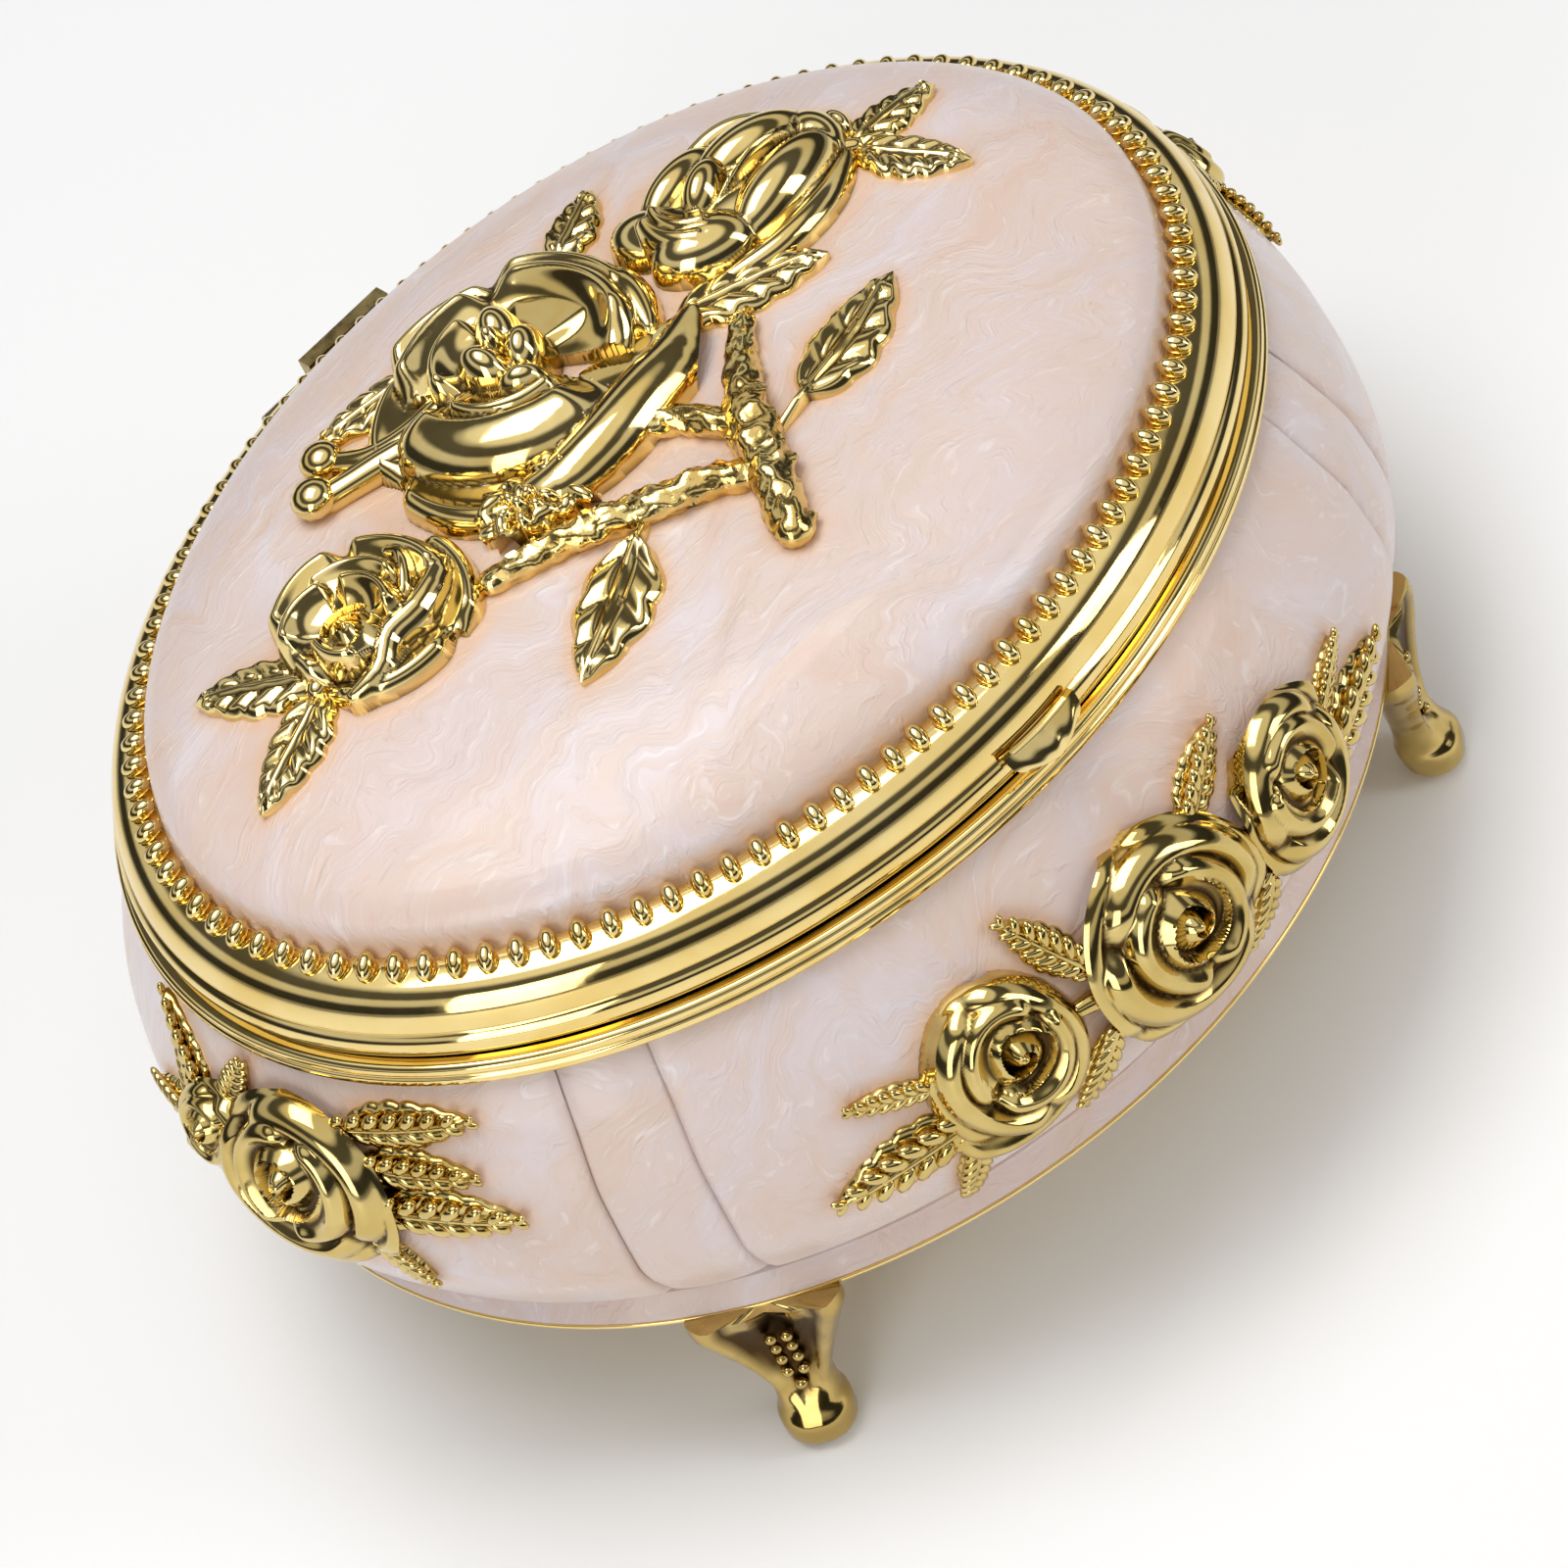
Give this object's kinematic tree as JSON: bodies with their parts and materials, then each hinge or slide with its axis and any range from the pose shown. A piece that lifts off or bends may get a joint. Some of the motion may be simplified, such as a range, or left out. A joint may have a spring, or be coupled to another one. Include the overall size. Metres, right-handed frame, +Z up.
{
  "type": "vanity trinket box",
  "caption": "Oval hinged trinket box: bombe enamelled bowl on cast feet, domed enamel lid with beaded gilt band and cast rose ornament, velvet lined.",
  "frame": {"origin": "on the table, under the centre of the oval", "axes": "+Z up, +X along the long axis, -Y towards the front with the thumb tab, +Y towards the hinge"},
  "size_m": [0.1216, 0.1062, 0.0705],
  "materials": {
    "gilt": "polished gilt casting",
    "hinge_brass": "satin, slightly dull",
    "pearl_enamel": "pearl, gloss",
    "steel": "bright",
    "velvet": "short pile velvet"
  },
  "bodies": {
    "base": {"base_shell": "gilt", "skirt_edging": "gilt", "base_rim": "gilt", "foot_front_left": "gilt", "foot_front_right": "gilt", "foot_back_left": "gilt", "foot_back_right": "gilt", "bottom_plate": "gilt", "rose_spray_front": "gilt", "rose_spray_back": "gilt", "rose_spray_left": "gilt", "rose_spray_right": "gilt", "skirt_enamel": "pearl_enamel", "enamel_panel_front": "pearl_enamel", "enamel_panel_right": "pearl_enamel", "enamel_panel_back": "pearl_enamel", "enamel_panel_left": "pearl_enamel", "enamel_gore_front_right": "pearl_enamel", "enamel_gore_back_right": "pearl_enamel", "enamel_gore_back_left": "pearl_enamel", "enamel_gore_front_left": "pearl_enamel", "hinge_base_leaf": "hinge_brass", "hinge_pin": "steel", "foot_screws": "steel", "base_flock_lining": "velvet", "base_cushion": "velvet"},
    "lid": {"lid_band": "gilt", "thumb_tab": "gilt", "lid_beading": "gilt", "lid_shell": "gilt", "lid_enamel": "pearl_enamel", "lid_padded_lining": "velvet", "lid_rose_centre": "gilt", "lid_rose_right": "gilt", "lid_rose_left": "gilt", "lid_branch": "gilt", "lid_leaves_right": "gilt", "lid_leaves_left": "gilt", "lid_leaves_centre": "gilt", "lid_buds": "gilt", "lid_florets": "gilt", "hinge_lid_leaf": "hinge_brass"}
  },
  "joints": [
    {"name": "lid_hinge", "type": "hinge", "parent": "base", "child": "lid", "pos_m": [0, 0.0423, 0.0502], "axis": [-1, 0, 0], "range_deg": [0, 100]}
  ]
}
